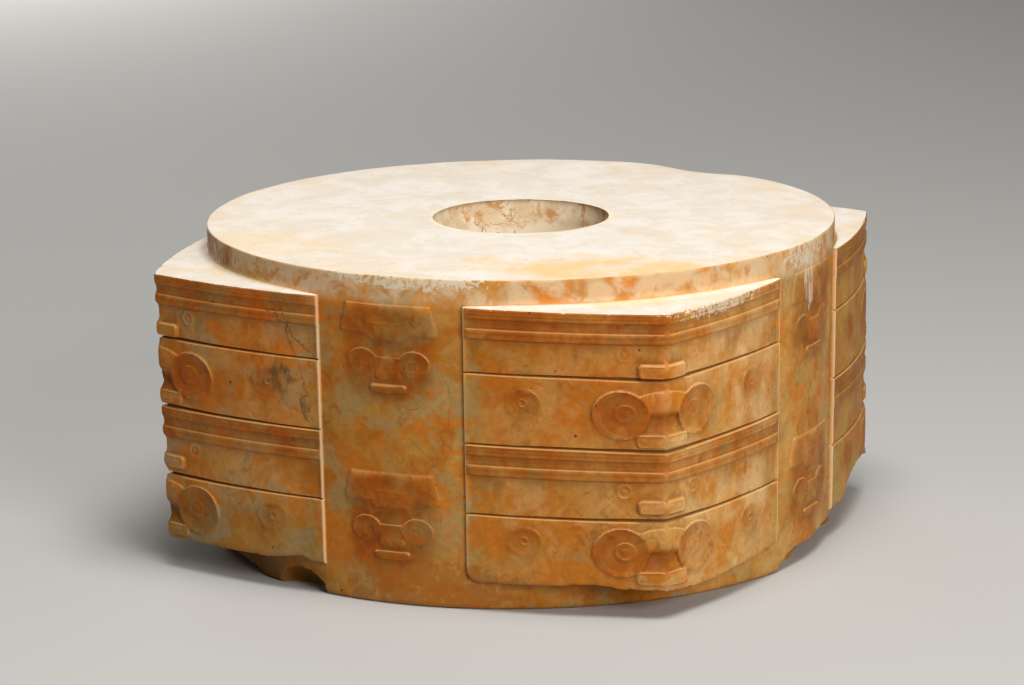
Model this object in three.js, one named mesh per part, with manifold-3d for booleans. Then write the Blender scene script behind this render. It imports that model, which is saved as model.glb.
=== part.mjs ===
// A jade cong: a low round tube of stone with a square-cornered block standing out at each of its four
// corners. Horizontal cuts part the blocks into four registers, which carry a small-eyed and a
// large-eyed mask by turns, and each upright groove between two blocks carries a full mask above and
// another below.
// Lengths are in millimetres. +Z is up, the bore runs along Z, the origin is the middle of the
// underside, and one of the grooves faces -Y.

import * as THREE from 'three';
import { mergeVertices } from 'three/addons/utils/BufferGeometryUtils.js';
import Module from 'manifold-3d';

const wasm = await Module();
wasm.setup();

// The tube and its collars
const height = 89;
const topRadius = 86.5;
const bottomRadius = 85;
const topCollarHeight = 7.3;
const bottomCollarHeight = 8.1;
const bottomEdgeBevel = 1.4;
const tubeSides = 64;

// The bore, drilled from both ends until the two holes met at a low ridge
const boreMouthRadius = 24.6;
const boreThroatRadius = 19;
const boreRidgeHeight = 5;
const boreRidgeProud = 1.3;

// The corner blocks, seen from above, at the level of their bands
const cornerReach = 105.2; // from the axis to the sharp corner
const grooveWidth = 42;
const blockProud = 1.4; // how far a block stands out of the groove at its edge
const faceBulge = 2; // how far the middle of a block's face swells past its chord
const faceBends = [21.5, 32]; // from the corner: clear of the large eye and of the bird

// The registers: small-eyed ones carry two bands, the large-eyed ones below them are plain
const registerHeights = [17.55, 19, 19]; // from the top; the fourth takes what is left
const bandHeight = 2.6;
const bandGapHeight = 2.9;
const bandGapDepth = 0.5;
const underBandDepth = 0.9;
const plainDepth = 0.5;
const cutHeight = 0.9;
const cutDepth = 1.9;

// The small-eyed mask: along is measured from the corner, down from the register's top
const smallNose = { reach: 7.9, down: 13.1, height: 3.3, proud: 1.1 };
const smallEye = { along: 11.1, down: 10.8, radius: 2.1, proud: 0.35 };

// The large-eyed mask: along is measured from the corner, up from the register's foot
const largeNose = { reach: 9.3, up: 1.3, height: 3.8, proud: 0.8 };
const largeEye = { along: 12.4, up: 10.3, halfWidth: 7.6, halfHeight: 6.5, proud: 0.6 };
const pupil = { along: 11.3, up: 10.3, halfWidth: 3.2, halfHeight: 2.8, proud: 0.85 };
const brow = { reach: 8.6, footReach: 5.5, up: 9.4, shoulder: 14.7, arch: 16.6, proud: 0.6 };
const cove = { reach: 9, deepest: 8.5, depth: 1.8 }; // the hollow between brow and nose
const bird = { along: 38.2, up: 11.8, halfWidth: 5.1, halfHeight: 3.9, proud: 0.45 };

// The full mask in a groove: across is measured from the groove's middle, down from its headdress
const upperMaskDrop = 0.5; // from the blocks' top face
const lowerMaskDrop = 9.2; // from the line between the second register and the third
const headdress = {
  topReach: 12, reach: 13.9, flare: 6.4, height: 8, dipReach: 4.6, dip: 1.8, proud: 0.6,
};
const visage = { down: 4.8, topReach: 4.6, chinReach: 3.3, height: 4.6, proud: 0.95 };
const maskEye = { across: 7.4, down: 15.7, halfWidth: 4.4, halfHeight: 3.6, proud: 0.6 };
const bridge = { reach: 4.2, down: 14.6, height: 3.4, proud: 0.5 };
const nose = { reach: 4.1, down: 17.7, height: 2.2, proud: 0.9 };
const mouth = { reach: 5.3, down: 21.4, height: 2.5, proud: 0.8 };

// Old breaks: each is the hollow that a lost flake left, as an oval with its half-sizes along the
// wall, into it and up it. Reach is from the axis to the oval's middle.
const collarBreaks = [
  { azimuth: -127, reach: 90, level: 1, along: 40, into: 11, up: 12 },
  { azimuth: 9, reach: 87, level: -1.5, along: 29, into: 10, up: 8 },
];
const rimBreak = { azimuth: 78, reach: 88, rise: 1, along: 17, into: 7, up: 2.6 };
const blockBreaks = [
  { azimuth: 32, reach: 95, drop: 0.6, along: 27, into: 9, up: 7 },
  { azimuth: -76, reach: 88.5, drop: 0.5, along: 4, into: 4, up: 3.2 },
];

const largeOvalSides = 12;
const smallOvalSides = 8;
const flakeSides = 16;
const sunk = 2.5; // how far a carved piece runs into the body behind it
const clear = 6; // how far a cutter runs past the surface

const blockTop = height - topCollarHeight;
const blockBottom = bottomCollarHeight;
const halfGroove = grooveWidth / 2;
const wallMiddle = (boreMouthRadius + bottomRadius) / 2;
const registerEdges = [blockTop];
for (const registerHeight of registerHeights) {
  registerEdges.push(registerEdges.at(-1) - registerHeight);
}
registerEdges.push(blockBottom);
const middleLine = registerEdges[2];

// One face of the block in the +X+Y quarter: its chord runs from the corner, at s = 0, to the groove.
const cornerPoint = new THREE.Vector2(cornerReach, cornerReach).multiplyScalar(Math.SQRT1_2);
const grooveEdge = Math.sqrt(topRadius ** 2 - halfGroove ** 2) + blockProud;
const edgePoint = new THREE.Vector2(halfGroove, grooveEdge);
const faceLength = edgePoint.distanceTo(cornerPoint);
const faceAlong = edgePoint.clone().sub(cornerPoint).normalize();
const faceNormal = new THREE.Vector2(faceAlong.y, -faceAlong.x);
const faceTilt = Math.atan2(faceNormal.x, faceNormal.y);
const cornerSlant = Math.cos(Math.PI / 4 - faceTilt);

// A closed three.js geometry as a solid, without the triangles that a pole flattens to nothing
function solid(geometry) {
  const bare = new THREE.BufferGeometry();
  bare.setIndex(geometry.index);
  bare.setAttribute('position', geometry.getAttribute('position'));
  const merged = mergeVertices(bare, 1e-4);
  const triangles = [];
  for (let i = 0; i < merged.index.count; i += 3) {
    const [a, b, c] = merged.index.array.subarray(i, i + 3);
    if (a !== b && b !== c && c !== a) {
      triangles.push(a, b, c);
    }
  }
  return new wasm.Manifold(new wasm.Mesh({
    numProp: 3,
    vertProperties: new Float32Array(merged.attributes.position.array),
    triVerts: new Uint32Array(triangles),
  }));
}

function geometryOf(manifold) {
  const mesh = manifold.getMesh();
  const geometry = new THREE.BufferGeometry();
  geometry.setAttribute('position', new THREE.BufferAttribute(new Float32Array(mesh.vertProperties), 3));
  geometry.setIndex(new THREE.BufferAttribute(new Uint32Array(mesh.triVerts), 1));
  return geometry;
}

function joined(pieces) {
  return pieces.reduce((whole, piece) => whole.add(piece));
}

// A solid turned from a closed profile of radius and level
function turned(profile, sides) {
  const points = profile.map(([radius, level]) => new THREE.Vector2(radius, level));
  return solid(new THREE.LatheGeometry(points, sides).rotateX(Math.PI / 2));
}

// A straight prism over an outline in plan, between two levels
function slab(outline, low, high) {
  const shape = new THREE.Shape(outline);
  const geometry = new THREE.ExtrudeGeometry(shape, { depth: high - low, bevelEnabled: false });
  return solid(geometry.translate(0, 0, low));
}

// The block's plan with both faces moved out by offset. The outline runs from one groove's edge over
// the corner to the other groove's edge, and closes inside the wall.
function blockOutline(offset) {
  const tip = cornerPoint.clone().addScalar((offset / cornerSlant) * Math.SQRT1_2);
  const edge = edgePoint.clone();
  edge.y += offset / Math.cos(faceTilt);
  const face = [0, ...faceBends, faceLength].reverse().map((s) => {
    const share = s / faceLength;
    const swell = 4 * faceBulge * share * (1 - share);
    return tip.clone().lerp(edge, share).addScaledVector(faceNormal, swell);
  });
  const mirrored = face.slice(0, -1).reverse().map((p) => new THREE.Vector2(p.y, p.x));
  const inner = wallMiddle * Math.SQRT1_2;
  return [...face, ...mirrored, new THREE.Vector2(inner, inner)];
}

function blockSlab(offset, low, high) {
  return slab(blockOutline(offset), low, high);
}

// Moves a geometry so that its X runs along the given direction in plan, its Y runs up and its Z
// points out of the block, with its origin on the sharp corner.
function atCorner(geometry, alongX, alongY) {
  const basis = new THREE.Matrix4().makeBasis(
    new THREE.Vector3(alongX, alongY, 0),
    new THREE.Vector3(0, 0, 1),
    new THREE.Vector3(alongY, -alongX, 0),
  );
  basis.setPosition(cornerPoint.x, cornerPoint.y, 0);
  return solid(geometry.applyMatrix4(basis));
}

function prism(outline, depth) {
  const shape = new THREE.Shape(outline.map(([x, y]) => new THREE.Vector2(x, y)));
  return new THREE.ExtrudeGeometry(shape, { depth, bevelEnabled: false });
}

// A prism over an outline in (s, level) through a face of the block. Side is 1 for the face that looks
// towards +Y and -1 for its mirror image.
function throughFace(outline, side) {
  const mirrored = outline.map(([s, level]) => [side * s, level]);
  const geometry = prism(mirrored, sunk + clear).translate(0, 0, -sunk);
  return side > 0
    ? atCorner(geometry, faceAlong.x, faceAlong.y)
    : atCorner(geometry, -faceAlong.y, -faceAlong.x);
}

// A prism over an outline in (s, level) along the diagonal, through the sharp corner
function throughCorner(outline) {
  const foreshortened = outline.map(([s, level]) => [s * cornerSlant, level]);
  const geometry = prism(foreshortened, 3 * sunk + clear).translate(0, 0, -3 * sunk);
  return atCorner(geometry, -Math.SQRT1_2, Math.SQRT1_2);
}

function oval(x, y, halfWidth, halfHeight, sides) {
  return Array.from({ length: sides }, (_, i) => {
    const turn = (2 * Math.PI * (i + 0.5)) / sides;
    return [x + halfWidth * Math.cos(turn), y + halfHeight * Math.sin(turn)];
  });
}

// A level bar with its four corners cut off, symmetric about x = 0
function bar(reach, foot, barHeight) {
  const cut = barHeight / 4;
  const head = foot + barHeight;
  return [
    [-reach, foot + cut],
    [-reach + cut, foot],
    [reach - cut, foot],
    [reach, foot + cut],
    [reach, head - cut],
    [reach - cut, head],
    [-reach + cut, head],
    [-reach, head - cut],
  ];
}

// The ground of the small-eyed registers, before the masks are carved
function smallEyedGround(head, foot) {
  const firstBand = head - bandHeight;
  const secondBand = firstBand - bandGapHeight;
  const underBands = secondBand - bandHeight;
  return [
    blockSlab(0, firstBand, head),
    blockSlab(-bandGapDepth, secondBand, firstBand),
    blockSlab(0, underBands, secondBand),
    blockSlab(-underBandDepth, foot, underBands),
  ];
}

function smallEyedMask(head) {
  const noseFoot = head - smallNose.down - smallNose.height;
  const standing = (piece, proud) =>
    piece.intersect(blockSlab(proud - underBandDepth, noseFoot - clear, head));
  const eyeLevel = head - smallEye.down;
  const eye = oval(smallEye.along, eyeLevel, smallEye.radius, smallEye.radius, smallOvalSides);
  const noseBar = throughCorner(bar(smallNose.reach, noseFoot, smallNose.height));
  return [
    standing(noseBar, smallNose.proud),
    standing(throughFace(eye, 1), smallEye.proud),
    standing(throughFace(eye, -1), smallEye.proud),
  ];
}

// The hollow under the brow: a notch along each face, with a steep roof and a long floor that comes
// forward to the nose. The two notches run past the corner, so that they meet there in a mitre.
function coveCutter(foot) {
  const low = foot + largeNose.up + largeNose.height;
  const high = foot + brow.up;
  const section = [
    [clear, low],
    [clear, high],
    [-plainDepth, high],
    [-plainDepth - cove.depth, foot + cove.deepest],
    [-plainDepth, low],
  ];
  const notch = (side) => {
    const along = side > 0 ? faceAlong : new THREE.Vector2(faceAlong.y, faceAlong.x);
    const out = side > 0 ? faceNormal : new THREE.Vector2(faceNormal.y, faceNormal.x);
    const basis = new THREE.Matrix4().makeBasis(
      new THREE.Vector3(out.x, out.y, 0),
      new THREE.Vector3(0, 0, 1),
      new THREE.Vector3(along.x, along.y, 0).multiplyScalar(-side),
    );
    const start = cornerPoint.clone().addScaledVector(along, side > 0 ? cove.reach : -clear);
    basis.setPosition(start.x, start.y, 0);
    return solid(prism(section, cove.reach + clear).applyMatrix4(basis));
  };
  return notch(1).add(notch(-1));
}

function largeEyedMask(foot) {
  const standing = (piece, proud) =>
    piece.intersect(blockSlab(proud - plainDepth, foot, foot + brow.arch + clear));
  const disc = ({ along, up, halfWidth, halfHeight, proud }, sides, side) =>
    standing(throughFace(oval(along, foot + up, halfWidth, halfHeight, sides), side), proud);
  const half = [
    [0, brow.arch],
    [brow.reach / 2, brow.arch - (brow.arch - brow.shoulder) / 4],
    [brow.reach, brow.shoulder],
    [brow.footReach, brow.up],
  ];
  const browOutline = [...half, ...half.slice(1).reverse().map(([s, up]) => [-s, up])];
  const browPlate = throughCorner(browOutline.map(([s, up]) => [s, foot + up]));
  const noseBar = throughCorner(bar(largeNose.reach, foot + largeNose.up, largeNose.height));
  const pieces = [standing(browPlate, brow.proud), standing(noseBar, largeNose.proud)];
  for (const side of [1, -1]) {
    pieces.push(
      disc(largeEye, largeOvalSides, side),
      disc(pupil, smallOvalSides, side),
      disc(bird, largeOvalSides, side),
    );
  }
  return pieces;
}

function cornerBlock() {
  const grounds = [];
  const masks = [];
  const coves = [];
  for (const first of [0, 2]) {
    const [head, waist, foot] = registerEdges.slice(first, first + 3);
    grounds.push(...smallEyedGround(head, waist), blockSlab(-plainDepth, foot, waist));
    coves.push(coveCutter(foot));
    masks.push(...smallEyedMask(head), ...largeEyedMask(foot));
  }
  const cuts = registerEdges.slice(1, -1).map((level) => {
    const ring = blockSlab(clear, level, level + cutHeight);
    return ring.subtract(blockSlab(-cutDepth, level - clear, level + clear));
  });
  const carved = joined(grounds).subtract(joined(coves)).add(joined(masks));
  return carved.subtract(joined(cuts));
}

// The carving in the groove that faces -Y: each outline stands through the wall of the tube and is cut
// to a slightly larger tube, so that it follows the curve.
function grooveMask(top) {
  const carved = (outline, proud) => {
    const geometry = prism(outline.map(([across, down]) => [across, top - down]), 2 * sunk + clear);
    geometry.rotateX(Math.PI / 2);
    geometry.translate(0, 2 * sunk - topRadius, 0);
    const skin = [
      [0, 0],
      [topRadius + proud, 0],
      [topRadius + proud, height],
      [0, height],
    ];
    return solid(geometry).intersect(turned(skin, tubeSides));
  };
  const h = headdress;
  const dipFoot = h.height + h.dip;
  const plumes = [
    [-h.topReach, 0],
    [h.topReach, 0],
    [h.reach, h.flare],
    [h.reach, h.height],
    [h.dipReach + h.dip, h.height],
    [h.dipReach, dipFoot],
    [-h.dipReach, dipFoot],
    [-h.dipReach - h.dip, h.height],
    [-h.reach, h.height],
    [-h.reach, h.flare],
  ];
  const v = visage;
  const chin = v.down + v.height;
  const visageOutline = [
    [-v.topReach, v.down],
    [v.topReach, v.down],
    [v.chinReach, chin],
    [-v.chinReach, chin],
  ];
  const pieces = [
    carved(plumes, headdress.proud),
    carved(visageOutline, visage.proud),
    carved(bar(bridge.reach, bridge.down, bridge.height), bridge.proud),
    carved(bar(nose.reach, nose.down, nose.height), nose.proud),
    carved(bar(mouth.reach, mouth.down, mouth.height), mouth.proud),
  ];
  const { across, down, halfWidth, halfHeight } = maskEye;
  for (const side of [1, -1]) {
    const eye = oval(side * across, down, halfWidth, halfHeight, largeOvalSides);
    pieces.push(carved(eye, maskEye.proud));
  }
  return joined(pieces);
}

// Four copies of a solid, a quarter turn apart
function fourTimes(manifold) {
  const geometry = geometryOf(manifold);
  return joined([0, 1, 2, 3].map((turn) => solid(geometry.clone().rotateZ((turn * Math.PI) / 2))));
}

// The round core, before it is drilled
function core() {
  return turned([
    [0, 0],
    [topRadius - bottomEdgeBevel, 0],
    [topRadius, bottomEdgeBevel],
    [topRadius, height],
    [0, height],
  ], tubeSides);
}

// The body narrows evenly from its top to its foot.
function narrowed(manifold) {
  const geometry = geometryOf(manifold);
  const place = geometry.attributes.position;
  for (let i = 0; i < place.count; i++) {
    const share = THREE.MathUtils.lerp(bottomRadius / topRadius, 1, place.getZ(i) / height);
    place.setXY(i, place.getX(i) * share, place.getY(i) * share);
  }
  return solid(geometry);
}

function bore() {
  const middle = height / 2;
  const aboveRidge = boreThroatRadius + boreRidgeProud;
  return turned([
    [0, -clear],
    [boreMouthRadius, -clear],
    [boreMouthRadius, 0],
    [aboveRidge, middle - boreRidgeHeight / 2],
    [boreThroatRadius, middle],
    [aboveRidge, middle + boreRidgeHeight / 2],
    [boreMouthRadius, height],
    [boreMouthRadius, height + clear],
    [0, height + clear],
  ], tubeSides / 2);
}

function flake({ azimuth, reach, along, into, up }, level) {
  const geometry = new THREE.SphereGeometry(1, flakeSides, flakeSides / 2);
  geometry.rotateX(Math.PI / 2);
  geometry.scale(into, along, up);
  geometry.translate(reach, 0, level);
  geometry.rotateZ(THREE.MathUtils.degToRad(azimuth));
  return solid(geometry);
}

// The lost flakes: those of the collars stop at the blocks, and those of the blocks at the collars.
function lostFlakes() {
  const underBlocks = turned([
    [0, -2 * clear],
    [2 * cornerReach, -2 * clear],
    [2 * cornerReach, blockBottom],
    [0, blockBottom],
  ], tubeSides);
  return joined([
    ...collarBreaks.map((lost) => flake(lost, lost.level).intersect(underBlocks)),
    ...blockBreaks.map((lost) => flake(lost, blockBottom - lost.drop).subtract(underBlocks)),
    flake(rimBreak, height + rimBreak.rise),
  ]);
}

function cong() {
  const masks = grooveMask(blockTop - upperMaskDrop).add(grooveMask(middleLine - lowerMaskDrop));
  const body = narrowed(joined([core(), fourTimes(cornerBlock()), fourTimes(masks)]));
  return body.subtract(bore()).subtract(lostFlakes());
}

const stone = new THREE.MeshStandardMaterial({ color: 0xb98a52, roughness: 0.45, metalness: 0 });
const jadeCong = new THREE.Mesh(geometryOf(cong()), stone);
jadeCong.name = 'jade_cong';
jadeCong.geometry.computeVertexNormals();

const group = new THREE.Group();
group.add(jadeCong);

export default group;
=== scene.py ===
# %% [markdown]
# # A jade cong
# A cong is a tube of jade with a square-cornered block at each of its four corners. This one is low
# and wide, about 17 cm across and 9 cm high. It was carved from one stone, so the whole object is one
# closed mesh here, with one material: nephrite that has aged to ochre, rust and cream.
#
# Lengths are in millimetres until the mesh is filled, because a carver's tools are sized that way.

import itertools
import math

import bpy
import numpy as np
from mathutils import Matrix, Vector


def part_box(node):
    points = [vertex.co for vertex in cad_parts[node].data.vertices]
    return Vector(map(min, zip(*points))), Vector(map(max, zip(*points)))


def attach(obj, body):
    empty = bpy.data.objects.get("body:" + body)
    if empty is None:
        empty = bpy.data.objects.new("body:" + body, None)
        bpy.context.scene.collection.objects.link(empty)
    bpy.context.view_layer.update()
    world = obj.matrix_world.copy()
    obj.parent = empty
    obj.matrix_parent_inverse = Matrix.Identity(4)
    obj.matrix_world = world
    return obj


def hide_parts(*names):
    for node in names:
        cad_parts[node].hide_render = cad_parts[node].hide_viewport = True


MM = 0.001
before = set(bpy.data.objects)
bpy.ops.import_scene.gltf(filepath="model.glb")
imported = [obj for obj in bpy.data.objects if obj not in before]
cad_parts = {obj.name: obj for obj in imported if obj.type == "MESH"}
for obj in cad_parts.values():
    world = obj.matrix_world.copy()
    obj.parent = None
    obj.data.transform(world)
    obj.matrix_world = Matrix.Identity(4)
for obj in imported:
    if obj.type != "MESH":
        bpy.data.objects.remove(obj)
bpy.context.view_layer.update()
low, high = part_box("jade_cong")
height = (high.z - low.z) / MM
print(f"the cong is {(high.x - low.x) / MM:.1f} mm across and {height:.1f} mm high")

# %% [markdown]
# ## The camera
# The picture is taken from a little above the table with a long lens. The camera stands a good metre
# away, turned by 24 degrees from the middle of one groove, and leans by less than one degree. Its
# turn is three simple turns, one after the other: round the cong, up over it, and the lean.

# %% Place the camera
lens_length = 170.2
view_distance = 1343.1
view_azimuth = math.radians(24.29)
view_elevation = math.radians(12.57)
view_lean = math.radians(-0.745)
aim_height = 53.156
aim_side = -2.861

around = Matrix.Rotation(view_azimuth, 3, "Z")
level_turn = around @ Matrix.Rotation(math.pi / 2 - view_elevation, 3, "X")
turn = level_turn @ Matrix.Rotation(view_lean, 3, "Z")
aim = level_turn @ Vector((aim_side, 0, 0)) + Vector((0, 0, aim_height))
eye_place = aim + turn @ Vector((0, 0, view_distance))

camera_data = bpy.data.cameras.new("camera")
camera_data.lens = lens_length
camera_data.sensor_width = 36
camera_data.clip_end = 20
camera = bpy.data.objects.new("camera", camera_data)
bpy.context.scene.collection.objects.link(camera)
camera.matrix_world = Matrix.Translation(eye_place * MM) @ turn.to_4x4()
bpy.context.scene.camera = camera
print("camera at", [round(v, 3) for v in camera.matrix_world.translation])

# %% [markdown]
# ## How the stone is made
# Seen from above, the outline of the cong is four round grooves and four blocks with two bulging
# faces each. Seen in section, its skin is one closed line: out along the underside, up the outside,
# in over the top and down the bore. A grid can follow both: its columns go round the outline and its
# rows go along the section. Joined at both ends it's a closed skin, like a bent tyre, with no seam
# and no pole. All the carving is then a height over this skin, worked out for every place at once.
# The other ways would be to cut each mask with boolean solids, which leaves razor edges that worn
# jade doesn't have, or to sculpt by hand, which can't be repeated.

# %% The sizes of the body
top_radius = 86.5
bottom_radius = 85.0
block_top = height - 7.3
block_foot = 8.1
bottom_bevel = 1.4
bore_mouth = 24.6
bore_throat = 19.0
bore_ridge = 1.3
corner_reach = 105.2
half_groove = 21.0
block_proud = 1.4
face_bulge = 2.0

corner = np.array([corner_reach, corner_reach]) * math.sqrt(0.5)
groove_edge = math.sqrt(top_radius**2 - half_groove**2) + block_proud
edge = np.array([half_groove, groove_edge])
face_length = float(np.linalg.norm(edge - corner))
face_along = (edge - corner) / face_length
face_out = np.array([face_along[1], -face_along[0]])
face_tilt = math.atan2(face_out[0], face_out[1])
corner_slant = math.cos(math.pi / 4 - face_tilt)
print(f"a block's face is {face_length:.1f} mm wide, turned {math.degrees(face_tilt):.1f} degrees")

# %% [markdown]
# ## Columns
# The columns stand close together where there is carving, about a third of a millimetre, and further
# apart on the plain stretches. One quarter is a groove that faces +X and the block after it. The
# other quarters are the same columns, turned.

# %% Spread the columns round the outline
def spaced(*stretches):
    """Places along a line: each stretch (start, end, step) is divided evenly, and the ends meet."""
    places = []
    for start, end, step in stretches:
        count = max(1, round(abs(end - start) / step))
        places.append(np.linspace(start, end, count, endpoint=False))
    return np.append(np.concatenate(places), stretches[-1][1])


wall_lean = 0.15
fine = 0.34
plain = 0.75
groove_stretch = spaced(
    (-half_groove + wall_lean, -19.8, 0.3), (-19.8, -15, plain), (-15, 15, fine), (15, 19.8, plain),
    (19.8, half_groove - wall_lean, 0.3),
)
face_stretch = spaced(
    (0, 0.45, 0.15), (0.45, 21, fine), (21, 32.5, plain), (32.5, 44, fine),
    (44, face_length - 1.2, plain), (face_length - 1.2, face_length - wall_lean, 0.26),
)
along = np.concatenate([np.zeros_like(groove_stretch), face_stretch[:0:-1], face_stretch])
side = np.concatenate([
    np.zeros_like(groove_stretch), -np.ones(len(face_stretch) - 1), np.ones(len(face_stretch)),
])
across = np.concatenate([groove_stretch, np.zeros(2 * len(face_stretch) - 1)])
in_groove = side == 0


def plan_of_quarter():
    """Where each column stands at band level, and the way it moves when the face is cut back.

    A face is a straight chord from the sharp corner to the groove, swollen by a parabola. Its
    direction turns evenly from the corner's diagonal to the groove edge's own direction. A groove is
    an arc of the tube, whose direction is its radius.
    """
    share = (along / face_length)[:, None]
    base = corner + (edge - corner) * share + face_out * 4 * face_bulge * share * (1 - share)
    tip_way = np.full(2, math.sqrt(0.5) / corner_slant)
    edge_way = np.array([0, 1 / math.cos(face_tilt)])
    way = tip_way + (edge_way - tip_way) * share
    mirrored = (side < 0)[:, None]
    base = np.where(mirrored, base[:, ::-1], base)
    way = np.where(mirrored, way[:, ::-1], way)
    lean = np.arcsin(across / top_radius)
    radial = np.stack([np.cos(lean), np.sin(lean)], axis=1)
    base = np.where(in_groove[:, None], radial * top_radius, base)
    way = np.where(in_groove[:, None], radial, way)
    return base, way


def four_turns(points):
    """The same points four times, each a quarter turn on: (x, y) becomes (-y, x)."""
    turned = [points]
    for _ in range(3):
        points = np.stack([-points[:, 1], points[:, 0]], axis=1)
        turned.append(points)
    return np.concatenate(turned)


quarter_base, quarter_way = plan_of_quarter()
base = four_turns(quarter_base)
way = four_turns(quarter_way)
per_quarter = len(along)
quarter = np.repeat(np.arange(4), per_quarter)
along, side, across, in_groove = (np.tile(a, 4) for a in (along, side, across, in_groove))
column_angle = np.arctan2(base[:, 1], base[:, 0])
radial = np.stack([np.cos(column_angle), np.sin(column_angle)], axis=1)
print(f"{len(along)} columns, {per_quarter} in each quarter")

# %% [markdown]
# ## Rows up the carved faces
# Each block is cut into four registers. The first and third have two raised bands at their head, and
# the rows stand closest there and at the cuts between the registers.

# %% Spread the rows up a face
register_edges = [block_top, block_top - 17.55, block_top - 36.55, block_top - 55.55, block_foot]
band_height = 2.75
band_gap = 2.6
bands_height = 2 * band_height + band_gap
cut_height = 0.9
tight = 0.2


def face_rows():
    """Levels from the foot to the top, close together at the bands, the cuts and the foot."""
    stretches = []
    for head, waist, foot in (register_edges[2:], register_edges[:3]):
        stretches += [
            (foot, foot + 1.2, tight), (foot + 1.2, waist - 0.4, fine),
            (waist - 0.4, waist + cut_height + 0.3, tight),
            (waist + cut_height + 0.3, head - bands_height - 0.3, fine),
            (head - bands_height - 0.3, head, tight),
        ]
    return spaced(*stretches)


levels = face_rows()
mask_pairs = (register_edges[0::2][:2], register_edges[2::2])
print(f"{len(levels)} rows between {levels[0]:.1f} and {levels[-1]:.1f} mm")

# %% [markdown]
# ## Soft steps
# Abraded jade has no razor edges. Every outline of the carving is measured as a distance, negative
# inside, and an S-curve turns that distance into a slope about half a millimetre wide.

# %% Helpers for outlines and wear
def smooth(t):
    """The S-curve 3t^2 - 2t^3, which leaves 0 and reaches 1 without a kink."""
    t = np.clip(t, 0, 1)
    return t * t * (3 - 2 * t)


def inside(distance, slope=0.5):
    """1 inside an outline and 0 outside it, over a slope centred on the outline."""
    return smooth(0.5 - distance / slope)


def oval_distance(x, y, half_width, half_height):
    """Nearly the distance to an ellipse: (k - 1) k over the gradient's length, k the scaled radius."""
    k = np.hypot(x / half_width, y / half_height)
    gradient = np.hypot(x / half_width**2, y / half_height**2)
    return (k - 1) * k / np.maximum(gradient, 1e-9)


def oval_at(x, y, oval):
    """The distance to an oval, given by its centre and half-sizes, and 1 - k^2 inside it.

    The second is the form of a dish: 1 in the middle, and 0 on the outline and beyond it.
    """
    centre_x, centre_y, half_width, half_height = oval
    k = np.hypot((x - centre_x) / half_width, (y - centre_y) / half_height)
    distance = oval_distance(x - centre_x, y - centre_y, half_width, half_height)
    return distance, 1 - np.clip(k, 0, 1) ** 2


def bar_distance(x, y, reach, half_height, rounding):
    """The distance to a level bar about the origin whose corners are quarter circles."""
    dx = np.abs(x) - reach + rounding
    dy = np.abs(y) - half_height + rounding
    outer = np.hypot(np.maximum(dx, 0), np.maximum(dy, 0))
    return outer + np.minimum(np.maximum(dx, dy), 0) - rounding


def line(distance, width=0.22):
    """A fine incised line along an outline: a bell curve across the distance."""
    return np.exp(-((distance / width) ** 2))


def clouds(points, cell, seed):
    """Soft noise from 0 to 1: random numbers on a cubic lattice, blended by S-curves between them."""
    size = 24
    table = np.random.default_rng(seed).random((size, size, size))
    whole, part = [], []
    for axis in range(3):
        scaled = points[..., axis] / cell + 50
        floor = np.floor(scaled)
        whole.append(floor.astype(int))
        part.append(smooth(scaled - floor))
    total = 0
    for step in itertools.product((0, 1), repeat=3):
        weight = 1
        for f, s in zip(part, step):
            weight = weight * (f if s else 1 - f)
        spot = [(w + s) % size for w, s in zip(whole, step)]
        total = total + weight * table[spot[0], spot[1], spot[2]]
    return total


# %% [markdown]
# ## The ground of a face
# Before the masks, a face is a stack of levels: two bands, the hollow between them, and the field
# below. A bell curve blurs the stack, which rounds every ledge, and fine lines are incised along
# each band.

# %% Work out the ground by height
gap_depth = 0.5
field_depth = 0.9
plain_depth = 0.5
edge_blur = 0.1


def ground_by_height():
    """A lookup of level against height, finely stepped and then blurred by a bell curve."""
    step = 0.02
    z = np.arange(block_foot - 2, block_top + 2, step)
    level = np.full_like(z, -plain_depth)
    for head, waist in (register_edges[2:4], register_edges[0:2]):
        second = head - band_height - band_gap
        level[z >= waist] = -field_depth
        level[z >= head - bands_height] = 0
        level[z >= second] = -gap_depth
        level[z >= head - band_height] = 0
        if head < block_top:
            level[z >= head] = -plain_depth
    reach = np.arange(-0.6, 0.6, step)
    bell = np.exp(-((reach / edge_blur) ** 2) / 2)
    padded = np.pad(level, len(bell) // 2, mode="edge")
    blurred = np.convolve(padded, bell / bell.sum(), mode="valid")[: len(z)]
    for head in register_edges[0:4:2]:
        for down in (0.85, 1.8, band_height + 1.2, band_height + band_gap + 1.5):
            blurred -= 0.07 * line(z - head + down, 0.13)
    return z, blurred


ground_z, ground_level = ground_by_height()
print(f"ground levels from {ground_level.min():.2f} to {ground_level.max():.2f} mm")

# %% [markdown]
# ## The two masks of a block
# The small-eyed mask has round eyes and a bar for a nose that turns the corner. The large-eyed one
# has dished oval eyes with a ring and a pupil, a plate that bridges them over the corner, a hollow
# under the plate, a broad nose and, near the groove, an oval with a ring in it: the bird's eye.

# %% Carve the masks on a face
large_eye = (12.1, 9.9, 7.7, 6.7)
bird_eye = (38.1, 11.8, 5.0, 4.1)


def carve_small_eyed(level, s, z, head, worn):
    """Adds ring eyes and the nose bar: the bar replaces the ground, the rings are added to it."""
    eye = np.hypot(s - 11.1, z - head + 10.8)
    ring = inside(np.abs(eye - 1.75) - 0.3) * 0.26 + inside(eye - 0.55) * 0.2
    level = level + ring * worn
    nose = bar_distance(s, z - head + 14.95, 7.4, 1.8, 1.1)
    nose_level = 0.12 - 0.08 * line(nose + 0.85)
    return level + (nose_level - level) * inside(nose, 0.45)


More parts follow.
